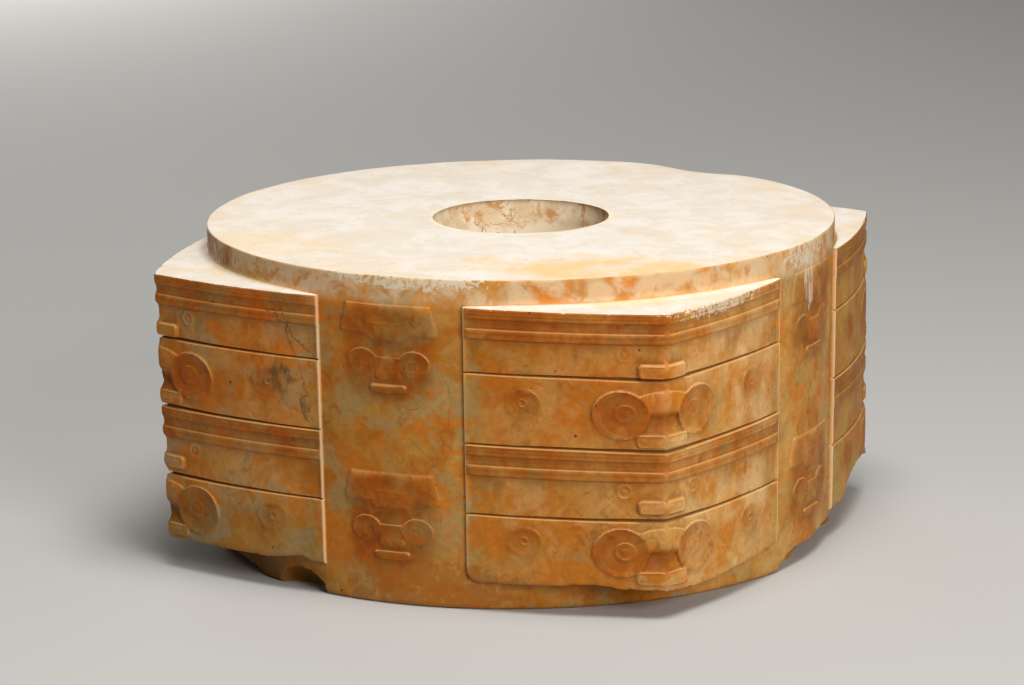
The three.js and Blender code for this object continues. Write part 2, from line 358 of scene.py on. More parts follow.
def carve_large_eyed(level, s, z, foot, worn):
    """Cuts the hollow, then sets bridge, eyes, nose and bird's eye over the ground, in that order."""
    rise = z - foot
    arch = 16.65 - 1.35 * (s / 6.9) ** 2
    flank = (s - 6.2 - (rise - 10.0) * 0.45) * 0.9
    bridge = np.maximum(rise - arch, flank)
    plate = inside(bridge, 0.4) * inside(9.9 - rise, 2.4)
    level = level + (0.0 - level) * plate
    floor_slope = -1.15 * smooth((rise - 4.6) / 4.2) * (1 - smooth((rise - 8.8) / 2.4))
    level = level + floor_slope * (1 - smooth((s - 1.0) / 7.0))

    eye, eye_dish = oval_at(s, rise, large_eye)
    ball = oval_distance(s - 10.9, rise - 10.2, 2.8, 2.35)
    crescent = oval_distance(s - 11.5, rise - 9.9, 5.7, 5.2)
    ring = 0.2 * inside(np.abs(ball) - 0.2, 0.4) + 0.28 * inside(ball, 0.6)
    pupil = 0.18 * inside(oval_distance(s - 10.9, rise - 10.3, 1.0, 0.85), 0.4)
    rim = 0.16 * line(eye + 0.4, 0.3) * smooth((rise - 6) / 5)
    eye_level = 0.06 - 0.75 * eye_dish + rim + (ring + pupil) * worn
    eye_level = eye_level - 0.14 * line(crescent, 0.3) * smooth((s - 9) / 6)
    lower = smooth((10 - rise) / 5) * smooth((s - 12) / 6)
    fading = np.clip(worn * 1.3, 0, 1) * (1 - 0.6 * lower)
    level = level + (eye_level - level) * inside(eye, 0.4) * fading

    nose = bar_distance(s, rise - 3.15, 8.0, 1.75, 1.3)
    nostril = np.hypot(s - 6.3, rise - 3.15) - 1.15
    nose_level = 0.15 - 0.09 * line(nose + 0.8) - 0.1 * line(nostril)
    level = level + (nose_level - level) * inside(nose, 0.45)

    bird, bird_dish = oval_at(s, rise, bird_eye)
    middle = np.hypot(s - 38.3, rise - 12.0)
    bird_ring = 0.3 * inside(np.abs(middle - 1.0) - 0.25, 0.4)
    bird_level = -0.22 - 0.45 * bird_dish + bird_ring - 0.1 * line(bird + 1.5)
    by_groove = 0.55 + 0.45 * smooth((41 - s) / 6)
    return level + (bird_level - level) * inside(bird, 0.42) * np.clip(worn * 1.2, 0, 1) * by_groove


def cut_between(level, s, z, edge_level):
    """One saw cut: a straight blade cuts the corner deepest and is shallower by the groove.

    Its floor and its roof are steps, and the floor's lip is the softer of the two.
    """
    share = np.clip(s / face_length, 0, 1)
    tall = 0.95 - 0.5 * share
    deep = 1.3 - 0.6 * share
    rise = z - edge_level
    slot = smooth(rise / 0.22) * inside(rise - tall, 0.16)
    return level - deep * slot


def face_relief(s, z, worn):
    """The level of the whole face, from the ground up, which fades out just before the groove."""
    level = np.interp(z, ground_z, ground_level) + np.zeros_like(s)
    for head, foot in mask_pairs:
        level = carve_small_eyed(level, s, z, head, worn)
        level = carve_large_eyed(level, s, z, foot, worn)
    arris = 0.08 * np.exp(-((s / 0.35) ** 2))
    margin = smooth((s - face_length + 1.5) / 1.1)
    return level - arris + (-0.3 - level) * 0.85 * margin


# %% [markdown]
# ## The full mask in a groove
# Each groove carries the whole mask twice: a plate with a small face set in it, and below it the large
# eyes with their bridge, the nose and the mouth.

# %% Carve the masks in a groove
mask_tops = (block_top - 0.5, register_edges[2] - 9.2)


def carve_full_mask(level, t, down, worn):
    """Sets plate, small face, eyes, bridge, nose and mouth over the tube, each as its own level.

    The eyes are highest along their upper outline and sink back towards the tube below it, so only
    their upper edges are crisp. The plate rises a little towards its chin.
    """
    width = 12 + 1.9 * np.clip(down / 6.4, 0, 1)
    chin_line = 8 + 1.8 * np.clip((6.4 - np.abs(t)) / 1.8, 0, 1)
    plate = np.maximum(np.maximum(-down, np.abs(t) - width), down - chin_line)
    level = level + (0.3 + 0.08 * smooth((down - 5) / 3)) * inside(plate, 0.4) * worn

    cheek = 4.6 - 1.3 * np.clip((down - 4.8) / 4.6, 0, 1)
    small_face = np.maximum(np.maximum(4.8 - down, down - 9.4), np.abs(t) - cheek)
    level = level + 0.16 * inside(small_face) * worn
    small_eye = np.hypot(np.abs(t) - 2.1, down - 6.5)
    small_nose = bar_distance(t, down - 7.7, 0.9, 0.3, 0.25)
    small_mouth = bar_distance(t, down - 8.7, 1.7, 0.35, 0.3)
    scratches = line(small_eye - 0.65) + line(small_nose) + line(small_mouth)
    level = level - 0.1 * np.clip(scratches, 0, 1) * worn

    bridge = bar_distance(t, down - 16.0, 4.4, 1.95, 0.4)
    level = np.maximum(level, 0.36 * inside(bridge, 0.4) * worn)

    eye, eye_dish = oval_at(np.abs(t), down, (7.4, 15.7, 4.5, 3.7))
    ball = oval_distance(np.abs(t) - 6.7, down - 16.3, 1.6, 1.6)
    eye_level = 0.45 - 0.5 * eye_dish + 0.2 * inside(np.abs(ball) - 0.12, 0.35)
    eye_level = eye_level * (1 - 0.6 * smooth((down - 16) / 3)) + 0.1 * inside(ball + 0.9)
    level = level + (eye_level * worn - level) * inside(eye, 0.4)

    nose = bar_distance(t, down - 18.9, 3.7, 1.35, 1.1)
    wings = np.hypot((np.abs(t) - 2.3) * 0.8, down - 18.8) - 1.2
    nostrils = np.hypot(np.abs(t) - 1.5, (down - 19.8) * 1.4) - 0.35
    nose_level = 0.34 + 0.14 * inside(wings, 0.9) - 0.3 * inside(nostrils, 0.5)
    level = level + (nose_level * worn - level) * inside(nose, 0.5)

    mouth = np.maximum(bar_distance(t, down - 22.6, 5.2, 1.3, 0.8), down - 23.9 + (t / 7) ** 2)
    mouth_level = 0.45 + 0.1 * np.exp(-(((down - 22.3) / 0.6) ** 2))
    return level + (mouth_level * worn - level) * inside(mouth, 0.4)


def groove_relief(t, z, worn):
    """The carving of one groove, as a height over the tube."""
    level = np.zeros(np.broadcast_shapes(t.shape, z.shape))
    for top in mask_tops:
        level = carve_full_mask(level, t, top - z, worn)
    return level


def face_stain(s, z):
    """Where the carving of a face is stained: the bands, the eye ovals and the bird's eyes."""
    amount = np.zeros(np.broadcast_shapes(s.shape, z.shape))
    for head, foot in mask_pairs:
        bands = inside(np.abs(z - head + bands_height / 2) - bands_height / 2, 0.8)
        eye = inside(oval_at(s, z - foot, large_eye)[0], 1.2)
        bird = inside(oval_at(s, z - foot, bird_eye)[0], 2.4)
        hollow = inside(oval_distance(s, z - foot - 7.6, 7.0, 3.4), 3.5)
        amount = np.maximum(amount, np.maximum(0.85 * bands, 0.8 * eye))
        amount = np.maximum(amount, np.maximum(0.7 * bird, hollow))
    return amount


def groove_stain(t, z):
    """Where a full mask is stained: an area a little larger than the mask, with a soft border."""
    amount = np.zeros(np.broadcast_shapes(t.shape, z.shape))
    for top in mask_tops:
        area = bar_distance(t, top - z - 13, 12.5, 12.5, 6)
        amount = np.maximum(amount, inside(area, 5))
    return amount


def local_average(values, reach, axes=(0, 1)):
    """A running mean over 2 * reach + 1 places, along one axis after the other."""
    for axis in axes:
        padding = [(reach, reach) if a == axis else (0, 0) for a in (0, 1)]
        mode = "edge" if axis == 0 else "wrap"
        total = np.cumsum(np.pad(values, padding, mode=mode), axis=axis)
        total = np.insert(total, 0, 0, axis=axis)
        size = 2 * reach + 1
        ahead = np.take(total, range(size, total.shape[axis]), axis=axis)
        behind = np.take(total, range(0, total.shape[axis] - size), axis=axis)
        values = (ahead - behind) / size
    return values


# %% [markdown]
# ## All the carving at once
# Noise says how worn each place is. The corners are rubbed round next, and the cuts between the
# registers come last, so they run on crisply over the corner.

# %% Work out the relief of every face and groove
level_column = levels[:, None]
places = np.stack(np.broadcast_arrays(base[None, :, 0], base[None, :, 1], level_column), axis=2)
worn = 0.62 + 0.5 * smooth((clouds(places, 9.0, 3) - 0.2) / 0.5)
relief = np.zeros((len(levels), len(along)))
relief[:, ~in_groove] = face_relief(along[None, ~in_groove], level_column, worn[:, ~in_groove])
relief[:, in_groove] = groove_relief(across[None, in_groove], level_column, worn[:, in_groove])
relief += 0.09 * (clouds(places, 6.0, 5) - 0.5)
carving_share = np.choose(quarter, (0.65, 1.0, 0.85, 1.0))
relief *= np.where(in_groove, 1, carving_share)
rubbed_corner = np.exp(-((along / 0.9) ** 2)) * ~in_groove
relief += (local_average(relief, 3, (0,)) - relief) * rubbed_corner
for register_edge in register_edges[1:4]:
    cut = cut_between(relief, along[None], level_column, register_edge - 0.05)
    relief = np.where(in_groove, relief, cut)
stain = np.zeros_like(relief)
stain[:, ~in_groove] = face_stain(along[None, ~in_groove], level_column)
stain[:, in_groove] = groove_stain(across[None, in_groove], level_column)
print(f"relief from {relief.min():.2f} to {relief.max():.2f} mm on {relief.size} places")

# %% [markdown]
# ## Faces in place
# The relief moves each place along its column's own direction. A cut never goes deeper than the tube
# inside the blocks. The whole body narrows a little towards its foot, and no two blocks are quite
# alike: some corners stand further out than others, the foot of each block is uneven, and the
# front block's cuts droop a little towards its corner.

# %% Put the faces in place
corner_shifts = {0: (1.4, 0.0), 1: (0.2, -0.2), 2: (0.0, 0.7), 3: (0.0, 0.0)}
foot_levels = {
    (0, -1): ([0, 20, 55], [8.4, 8.2, 8.2]),
    (0, 1): ([0, 55], [8.2, 8.0]),
    (1, -1): ([0, 55], [8.0, 7.8]),
    (1, 1): ([0, 55], [8.0, 8.3]),
    (2, -1): ([0, 55], [8.2, 8.4]),
    (2, 1): ([0, 36, 41, 47, 50, 55], [8.5, 8.5, 9.2, 10.0, 8.9, 8.8]),
    (3, -1): (
        [0, 12, 14.5, 19, 24, 27, 40, 51.5, 52.6, 53.6, 54.5],
        [7.8, 8.0, 8.6, 9.1, 8.8, 8.5, 8.1, 7.8, 8.1, 8.8, 10.4],
    ),
    (3, 1): ([0, 5, 13, 22, 32, 55], [7.6, 7.3, 6.9, 7.1, 7.9, 9.0]),
}
sagging_ledge = 1.2


def narrowing(z):
    """The scale of the body at a height: a straight line from the foot up to 1 at the top."""
    return bottom_radius / top_radius + (1 - bottom_radius / top_radius) * z / height


foot = np.full(len(along), block_foot)
for (which, hand), (stations, heights) in foot_levels.items():
    chosen = (quarter == which) & (side == hand)
    foot[chosen] = np.interp(along[chosen], stations, heights)
head = np.full(len(along), block_top)
sags = (quarter == 0) & (side > 0)
head[sags] -= sagging_ledge * smooth(along[sags] / face_length)

foot_zone = 4.0
face_z = np.repeat(level_column, len(along), axis=1)
near_foot = np.clip((block_foot + foot_zone - face_z) / foot_zone, 0, 1)
face_z = face_z + (foot - block_foot) * near_foot * (~in_groove)
near_head = np.clip((face_z - block_top + band_height) / band_height, 0, 1)
face_z = face_z + (head - block_top) * near_head
droop = np.interp(level_column, [26, 36, 45, 55, 64, 73], [0, 0, -0.35, -0.3, -0.45, 0])
face_z = face_z + droop * smooth(1 - along / 26) * ((quarter == 3) & ~in_groove)
worn_foot = 0.35 * np.exp(-((level_column - block_foot) / 0.5)) * (~in_groove)
worn_head = 0.16 * np.exp(-((block_top - level_column) / 0.25)) * (~in_groove)
relief = relief - worn_foot - worn_head

face_xy = base[None] + way[None] * relief[..., None]
distance = np.linalg.norm(face_xy, axis=2)
face_xy *= np.maximum(1, top_radius / distance)[..., None]
face_xy[:, in_groove] = radial[None, in_groove] * (top_radius + relief[:, in_groove, None])
face_xy *= narrowing(face_z)[..., None]
for which, (at_foot, at_top) in corner_shifts.items():
    diagonal = math.radians(45 + 90 * which)
    amount = at_foot + (at_top - at_foot) * face_z / block_top
    amount = amount * (1 - along / face_length) * ((quarter == which) & ~in_groove)
    face_xy += amount[..., None] * np.array([math.cos(diagonal), math.sin(diagonal)])
face_points = np.concatenate([face_xy, face_z[..., None]], axis=2)
print("faces:", face_points.shape)

# %% [markdown]
# ## The old breaks
# The lower collar has lost flakes on two sides, one block has lost its lower edge, and the rim of
# the disc has a long shallow dip. A flake leaves a shell-shaped hollow, so each break is an egg-shaped
# volume: skin that lies in it is pushed in, towards the axis, until it lies on the egg.

# %% Push the skin in at the old breaks
def push_in(points, azimuth, reach, level, half_along, half_in, half_up, roughness=0.35):
    """Moves points against the azimuth's direction to an ellipsoid's inner side.

    In the ellipsoid's own frame the inner side is reach - half_in * sqrt(1 - u^2 - v^2), where u and
    v are the sideways and upward offsets over their half-sizes. Soft noise roughens it.
    """
    turned = math.radians(azimuth)
    out = np.array([math.cos(turned), math.sin(turned)])
    sideways = np.array([-out[1], out[0]])
    depth = points[..., :2] @ out
    u = points[..., :2] @ sideways / half_along
    v = (points[..., 2] - level) / half_up
    rough = clouds(points, 3.1, 11) - 0.5 + 0.5 * (clouds(points, 1.3, 12) - 0.5)
    room = 1 - u**2 - v**2
    target = reach - half_in * np.sqrt(np.maximum(room, 0))
    target = target + roughness * rough * 2 * np.sqrt(np.maximum(room, 0))
    moved = np.where((room > 0) & (depth > target) & (depth > 0), target - depth, 0)
    points[..., :2] += moved[..., None] * out
    return moved


block_loss = {"azimuth": 32, "reach": 95, "level": 7.5, "half_along": 27, "half_in": 9, "half_up": 7}
collar_losses = (
    {"azimuth": -110.5, "reach": 88, "level": 0, "half_along": 10, "half_in": 9, "half_up": 6.3},
    {"azimuth": -133, "reach": 88, "level": -1, "half_along": 26, "half_in": 8, "half_up": 4.0},
    {"azimuth": 9, "reach": 87, "level": -1.5, "half_along": 29, "half_in": 10, "half_up": 8},
    {"azimuth": -4, "reach": 87, "level": -1.5, "half_along": 15, "half_in": 7, "half_up": 7.3},
)

broken_face = push_in(face_points, **block_loss)
print(f"the lost edge is up to {-broken_face.min():.1f} mm deep")

# %% [markdown]
# ## Collars, ledges, top and bore
# The other rows join the faces into one skin. A ledge is a straight line from the collar to the
# block's edge. In a groove the collar and the face are one surface, so the ledge's rows are only
# drawn a little apart up the wall there.

# %% Lay the other rows
def ring_rows(radius, z):
    """Rows of a turned shape: at each height a circle, met by every column at its own angle."""
    radius, z = np.broadcast_arrays(np.asarray(radius, float), np.asarray(z, float))
    if radius.ndim == 1:
        radius = np.repeat(radius[:, None], len(along), axis=1)
        z = np.repeat(z[:, None], len(along), axis=1)
    return np.concatenate([radius[..., None] * radial[None], z[..., None]], axis=2)


def between(start, end, shares):
    """Rows at the given shares of the way from one row of points to another."""
    return start[None] + (end - start)[None] * shares[:, None, None]


groove_ledge = 0.6
collar_head = np.where(in_groove, foot - groove_ledge, foot)
bevel_turn = np.linspace(0, math.pi / 2, 5)
bevel_z = bottom_bevel * (1 - np.cos(bevel_turn))
bevel_radius = bottom_radius - bottom_bevel * (1 - np.sin(bevel_turn))
bevel_rows = ring_rows(bevel_radius, bevel_z)
collar_z = bottom_bevel + (collar_head - bottom_bevel) * np.linspace(0, 1, 16)[1:, None]
collar_rows = ring_rows(top_radius * narrowing(collar_z), collar_z)
lower = np.concatenate([bevel_rows, collar_rows])
for collar_loss in collar_losses:
    push_in(lower, **collar_loss)

bore_foot = ring_rows([bore_mouth], [0.0])[0]
underside = between(bore_foot, lower[0], spaced((0, 0.9, 0.06), (0.9, 1, 0.012)))[:-1]
lower_ledge = between(lower[-1], face_points[0], np.linspace(0, 1, 16))[1:-1]

collar_foot = np.where(in_groove, block_top + groove_ledge, head)
from_dip = (np.degrees(column_angle) - 77 + 180) % 360 - 180
rim_dip = 1.15 * np.exp(-((from_dip / 9) ** 2)) + 0.15 * np.exp(-(((from_dip + 14) / 4) ** 2))
rim_round = 0.45
share_up = spaced((0, 1, 0.045))
upper_z = collar_foot + (height - rim_dip - rim_round - collar_foot) * share_up[:, None]
ledge_width = np.linalg.norm(face_points[-1, :, :2], axis=1) - top_radius
fillet = 0.8 * smooth(ledge_width / 4)
fillet_reach = 2.4
swell = fillet * np.clip(1 - (upper_z - collar_foot) / fillet_reach, 0, 1) ** 2
upper_z = upper_z + 0.8 * swell * (1 - share_up[:, None])
upper_collar = ring_rows(top_radius * narrowing(upper_z) + swell, upper_z)
ledge_share = spaced((0, 0.2, 0.02), (0.2, 1, 0.045))
upper_ledge = between(face_points[-1], upper_collar[0], ledge_share)[1:-1]
to_collar = np.linalg.norm(upper_ledge[..., :2] - upper_collar[0][None, :, :2], axis=2)
rise = upper_collar[0, :, 2] - collar_foot
straight = rise * ledge_share[1:-1, None]
upper_ledge[..., 2] += rise * np.clip(1 - to_collar / fillet_reach, 0, 1) ** 2 - straight

rim_turn = np.linspace(0, math.pi / 2, 5)[1:, None]
rim_z = height - rim_dip - rim_round * (1 - np.sin(rim_turn))
rim_radius = top_radius - rim_round * (1 - np.cos(rim_turn)) + 0 * rim_z
rim_rows = ring_rows(rim_radius, rim_z)
bore_head = ring_rows([bore_mouth - 0.3], [height])[0]
share_in = spaced((0, 0.06, 0.006), (0.06, 1, 0.02))
top_rows = between(rim_rows[-1], bore_head, share_in)[1:]
dip_fade = np.clip(1 - share_in[1:, None] / 0.11, 0, 1)
top_rows[..., 2] = height - rim_dip * dip_fade

middle = height / 2
bore_z = spaced((height - 0.5, middle + 3, 1.6), (middle + 3, middle - 3, 0.4), (middle - 3, 0.5, 1.6))
bore_radius = np.interp(
    np.abs(bore_z - middle),
    [0, 1.6, 2.5, middle],
    [bore_throat, bore_throat + 0.6, bore_throat + bore_ridge, bore_mouth],
)
bore_rows = ring_rows(bore_radius, bore_z)
skin = np.concatenate([
    underside, lower, lower_ledge, face_points, upper_ledge, upper_collar, rim_rows, top_rows, bore_rows,
])
first_face = len(underside) + len(lower) + len(lower_ledge)
print(f"the skin has {skin.shape[0]} rows of {skin.shape[1]} places")

# %% [markdown]
# ## Wear on the skin
# Sawing, grinding and four thousand years have left the top slightly uneven, and the rim and the
# blocks' edges have small chips. Unevenness is soft noise that only ever takes stone away. A chip is
# a small ball that rests in an edge: skin inside it moves away from the ball's centre until it lies
# on the ball.

# %% Wear the skin down
undulation = 0.22 * clouds(skin, 14.0, 21) + 0.07 * clouds(skin, 4.0, 22)
on_top = np.zeros(skin.shape[:2], bool)
on_top[first_face + len(face_points) : -len(bore_rows)] = True
on_top &= np.abs(skin[..., 2] - height) < 1.6
skin[..., 2] -= undulation * on_top
bore_skin = skin[-len(bore_rows) :]
bore_skin[..., :2] *= 1 + 0.012 * clouds(bore_skin, 5.0, 23)[..., None]


def chip(centre, outward, size, depth, seed):
    """Takes one chip off the skin: a ball whose surface reaches depth into the stone.

    Only the columns near the chip's azimuth are worked on. A point inside the ball goes to
    middle + size * direction, where the direction leads from the ball's middle to the point.
    """
    outward = np.asarray(outward, float)
    outward = outward / np.linalg.norm(outward)
    ball = np.asarray(centre, float) + outward * (size - depth)
    azimuth = math.atan2(centre[1], centre[0])
    apart = np.abs((column_angle - azimuth + math.pi) % (2 * math.pi) - math.pi)
    close = np.flatnonzero(apart < 1.3 * size / math.hypot(centre[0], centre[1]))
    part = skin[:, close]
    offset = part - ball
    length = np.linalg.norm(offset, axis=2)
    rough = 1 + 0.12 * (clouds(part, 0.9, seed) - 0.5)
    hit = (length < size * rough) & (length > 1e-6)
    grown = offset * (size * rough / np.maximum(length, 1e-6))[..., None]
    skin[:, close] = np.where(hit[..., None], ball + grown, part)


def chips_along(count, spot_at, sizes, seed, deepest=0.45):
    """Chips at random places of an edge: spot_at(t) gives the point and its outward direction."""
    rng = np.random.default_rng(seed)
    for number in range(count):
        size = sizes[0] + (sizes[1] - sizes[0]) * rng.random() ** 3
        centre, outward = spot_at(rng.random())
        tilt = rng.normal(0, 0.25, 3)
        depth = size * (0.15 + deepest * rng.random())
        chip(centre, np.asarray(outward) + tilt, size, depth, seed + number)


def rim_place(start, end):
    """The disc's rim between two azimuths."""
    def spot_at(t):
        """A point of the rim, at a share t of the way, and its direction out and up."""
        turned = math.radians(start + (end - start) * t)
        out = (math.cos(turned), math.sin(turned))
        return (out[0] * top_radius, out[1] * top_radius, height), (out[0], out[1], 1)
    return spot_at


def block_edge_place(which, hand, start, end, row):
    """A level edge of a block's face, from s = start to s = end, on the given row of the faces."""
    def spot_at(t):
        """The nearest point of the row, and the face's direction there, tilted up or down."""
        columns = np.flatnonzero((quarter == which) & (side == hand))
        wanted = start + (end - start) * t
        column = columns[np.argmin(np.abs(along[columns] - wanted))]
        way_out = way[column]
        lift = 1 if row < 0 else -1
        return face_points[row, column], (way_out[0], way_out[1], lift)
    return spot_at


chips_along(120, rim_place(0, 360), (0.3, 1.1), 100, 0.35)
chips_along(36, rim_place(-25, 15), (0.4, 1.3), 300, 0.4)
for which, hand in itertools.product(range(4), (-1, 1)):
    chips_along(12, block_edge_place(which, hand, 0, 54, -1), (0.3, 0.9), 400 + 20 * which + 5 * hand)
    chips_along(10, block_edge_place(which, hand, 0, 54, 0), (0.4, 1.4), 600 + 20 * which + 5 * hand)
chips_along(22, block_edge_place(3, 1, 0, 30, -1), (0.5, 1.5), 800)
print("chips taken off")

# %% [markdown]
# ## Hollows and edges
# Dirt stays in the hollows and hands polish the edges, so the material needs to know which is which.
# The hollows are also darkened as painted shade, and the edges that face up get a painted highlight.
# Relief minus its own local average is negative in a hollow and positive on an edge.

# %% Measure hollows and edges
stand = relief - local_average(relief, 3)
crest = relief - local_average(relief, 1)
# The blocks' edges by the grooves: the material paints a pale highlight along them.
lip = np.exp(-(((face_length - wall_lean - along) / 0.3) ** 2)) * ~in_groove


def on_faces(values):
    """The values on the rows of the faces, and zeros on all the other rows of the skin."""
    spread = np.zeros(skin.shape[:2])
    spread[first_face : first_face + len(face_points)] = values
    return spread


# hollow paints dirt and shade into recesses, edge paints wear and highlights, lip paints a highlight.
marks = {
    "hollow": on_faces(np.clip(-stand / 0.45, 0, 1)),
    "edge": on_faces(np.clip(crest / 0.08, 0, 1)),
    "loss": on_faces(np.clip(-broken_face / 0.4, 0, 1)),
    "stain": on_faces(stain),
    "lip": on_faces(lip),
}
print(f"hollows cover {100 * (marks['hollow'] > 0.3).mean():.1f} % of the places")

# %% [markdown]
# ## One mesh
# The grid becomes faces of four corners that wrap round in both directions. That's over a million
# triangles, most of them on plain stretches, so Decimate then keeps them where the form turns. What
# is left is under two hundred thousand. Edges sharper than 35 degrees stay crisp.

# %% Fill the mesh
def mesh_from_grid(name, points, attributes):
    """A closed mesh from a grid whose rows and columns both wrap round, with point attributes."""
    rows, columns = points.shape[:2]
    corner_index = np.arange(rows * columns, dtype=np.int32).reshape(rows, columns)
    right_index = np.roll(corner_index, -1, axis=1)
    up_index = np.roll(corner_index, -1, axis=0)
    across_index = np.roll(right_index, -1, axis=0)
    quads = np.stack([corner_index, right_index, across_index, up_index], axis=2).reshape(-1, 4)
    mesh = bpy.data.meshes.new(name)
    mesh.vertices.add(rows * columns)
    mesh.vertices.foreach_set("co", (points * MM).astype(np.float32).ravel())
    mesh.loops.add(quads.size)
    mesh.loops.foreach_set("vertex_index", quads.ravel())
    mesh.polygons.add(len(quads))
    mesh.polygons.foreach_set("loop_start", np.arange(0, quads.size, 4, dtype=np.int32))
    for key, values in attributes.items():
        layer = mesh.attributes.new(key, "FLOAT", "POINT")
        layer.data.foreach_set("value", values.astype(np.float32).ravel())
    mesh.update(calc_edges=True)
    mesh.validate()
    return mesh


triangle_budget = 192000
sharp_angle = math.radians(35)

raw = mesh_from_grid("jade", skin, marks)
stone = bpy.data.objects.new("carved_jade", raw)
bpy.context.scene.collection.objects.link(stone)
thinning = stone.modifiers.new("thinning", "DECIMATE")
thinning.ratio = triangle_budget / (2 * len(raw.polygons))
depsgraph = bpy.context.evaluated_depsgraph_get()
thin = bpy.data.meshes.new_from_object(stone.evaluated_get(depsgraph), depsgraph=depsgraph)
stone.modifiers.clear()
stone.data = thin
bpy.data.meshes.remove(raw)
thin.shade_smooth()
thin.set_sharp_from_angle(angle=sharp_angle)
print(f"{len(thin.polygons)} faces after thinning")

# %% [markdown]
# ## The material
# This nephrite was once green. Long burial has turned it ochre and tan, with clouds of orange rust,
# some grey-olive where the old stone still shows, and cream where it has whitened most, above all on
# the top, where the cream is also painted light from overhead. The clouds are layers of noise in the
# stone's own coordinates, so they run through it as real ones do, round corners and over ledges.
# Each coat is one colour laid on through masks. A few coats paint light and shade into the colour:
# highlights on edges, shade in the hollows and a shadow under the left block.

# %% Start the material and its tools
jade = bpy.data.materials.new("aged_jade")
jade.use_nodes = True
tree = jade.node_tree
shader = tree.nodes["Principled BSDF"]


def node_with(kind, inputs, **settings):
    """The outputs of a new shader node, whose inputs are given values or other nodes' outputs."""
    node = tree.nodes.new(f"ShaderNode{kind}")
    for key, value in settings.items():
        setattr(node, key, value)
    for key, value in inputs.items():
        if isinstance(value, bpy.types.NodeSocket):
            tree.links.new(value, node.inputs[key])
        else:
            node.inputs[key].default_value = value
    return node.outputs


def sum_node(kind, *values):
    """A sum of the given kind, worked out from numbers or other nodes' outputs."""
    return node_with("Math", dict(enumerate(values)), operation=kind)[0]


def times(*shares):
    """The product of masks or numbers."""
    product = shares[0]
    for share in shares[1:]:
        product = sum_node("MULTIPLY", product, share)
    return product


def placed(shift=(0, 0, 0), stretch=(1, 1, 1)):
    """The stone's own coordinates in millimetres, stretched and then shifted."""
    scale = tuple(s / MM for s in stretch)
    return node_with("Mapping", {"Vector": own_place, "Scale": scale, "Location": shift})[0]


def cloud_layer(size, shift, detail=4.0, roughness=0.55, distortion=0.4, stretch=(1, 1, 1)):
    """Noise from 0 to 1 whose lumps are about the given size in millimetres."""
    inputs = {
        "Vector": placed((shift, shift * 0.7, -shift), stretch), "Scale": 1 / size,
        "Detail": detail, "Roughness": roughness, "Distortion": distortion,
    }
    return node_with("TexNoise", inputs)["Fac"]


def mask(value, start, end, strength=1.0):
    """0 at the start, the full strength at the end, which may be lower, and an S-curve between."""
    inputs = {"Value": value, "From Min": start, "From Max": end, "To Max": strength}
    return node_with("MapRange", inputs, interpolation_type="SMOOTHSTEP")[0]


def lay(under, colour, amount, blend="MIX"):
    """A colour laid over another through a mask."""
    first, second = ((*c, 1) if isinstance(c, tuple) else c for c in (under, colour))
    return node_with("Mix", {0: amount, 6: first, 7: second}, data_type="RGBA", blend_type=blend)[2]


def near(place, size):
    """1 at a place of the stone and 0 beyond an egg of the given size about it, in millimetres."""
    scaled = placed(tuple(-p / s for p, s in zip(place, size)), tuple(1 / s for s in size))
    return mask(node_with("VectorMath", {0: scaled}, operation="LENGTH")["Value"], 1.0, 0.35)


def patch(place, size, lump, seed, start, end, stretch=(1, 1, 1)):
    """An irregular patch: noise that is let through more and more towards a place."""
    noise = sum_node("SUBTRACT", cloud_layer(lump, seed, 6, 0.68, 0.4, stretch), 0.2)
    return mask(sum_node("MULTIPLY_ADD", near(place, size), 0.3, noise), start, end)


def point_value(name):
    """A value stored on the mesh's points."""
    return node_with("Attribute", {}, attribute_name=name)["Fac"]


ochre = (0.48, 0.175, 0.015)
coats = [ochre]


def coat(colour, *shares, blend="MIX"):
    """Lays a colour over the last coat, through the product of the masks."""
    coats.append(lay(coats[-1], colour, times(*shares), blend))


own_place = node_with("TexCoord", {})["Object"]
facing_up = node_with("SeparateXYZ", {0: node_with("NewGeometry", {})["Normal"]})["Z"]
east, north, level_up = node_with("SeparateXYZ", {0: placed()})
from_axis = sum_node("SQRT", sum_node("MULTIPLY_ADD", east, east, times(north, north)))
on_tube = mask(from_axis, 88.2, 87.3)
on_left_block = mask(east, -18, -26)
front_side = mask(sum_node("ADD", north, east), 8, -6)
right_side = times(mask(east, 68, 80), mask(north, 22, 14))
back_right = times(mask(east, 50, 66), mask(north, 14, 22))
print(f"{len(tree.nodes)} nodes for the sides of the stone")

# %% [markdown]
# ### The clouds
# Tan comes first over the ochre, then olive, rust and rose, each with its own size of lump. The left
# block and the tube are livelier, with grey and orange clouds, and the right side is creamier. Fine
# grain varies the brightness of all of them.

# %% Lay the clouds
RUSTY_BROWN = (0.20, 0.065, 0.010)
lively = sum_node("MAXIMUM", on_left_block, on_tube)

coat((0.53, 0.275, 0.070), mask(cloud_layer(14, 3.1, 5, 0.56, 0.3), 0.40, 0.60))
coat((0.38, 0.245, 0.085), mask(cloud_layer(9, 17.3, 5, 0.58, 0.4), 0.52, 0.66, 0.6))
coat((0.56, 0.165, 0.012), mask(cloud_layer(10, 29.9, 5, 0.58, 0.4), 0.50, 0.66, 0.6))
coat((0.60, 0.32, 0.12), mask(cloud_layer(8, 41.7, 5, 0.6, 0.3), 0.53, 0.68, 0.6))
coat((0.44, 0.295, 0.145), mask(cloud_layer(11, 19.3, 6, 0.6, 0.4), 0.48, 0.60, 0.85), lively)
coat((0.60, 0.20, 0.015), mask(cloud_layer(9, 37.1, 6, 0.62, 0.5), 0.52, 0.61, 0.8), lively)
coat((0.68, 0.46, 0.22), mask(cloud_layer(12, 23.7, 5, 0.58, 0.4), 0.40, 0.62, 0.5), right_side)
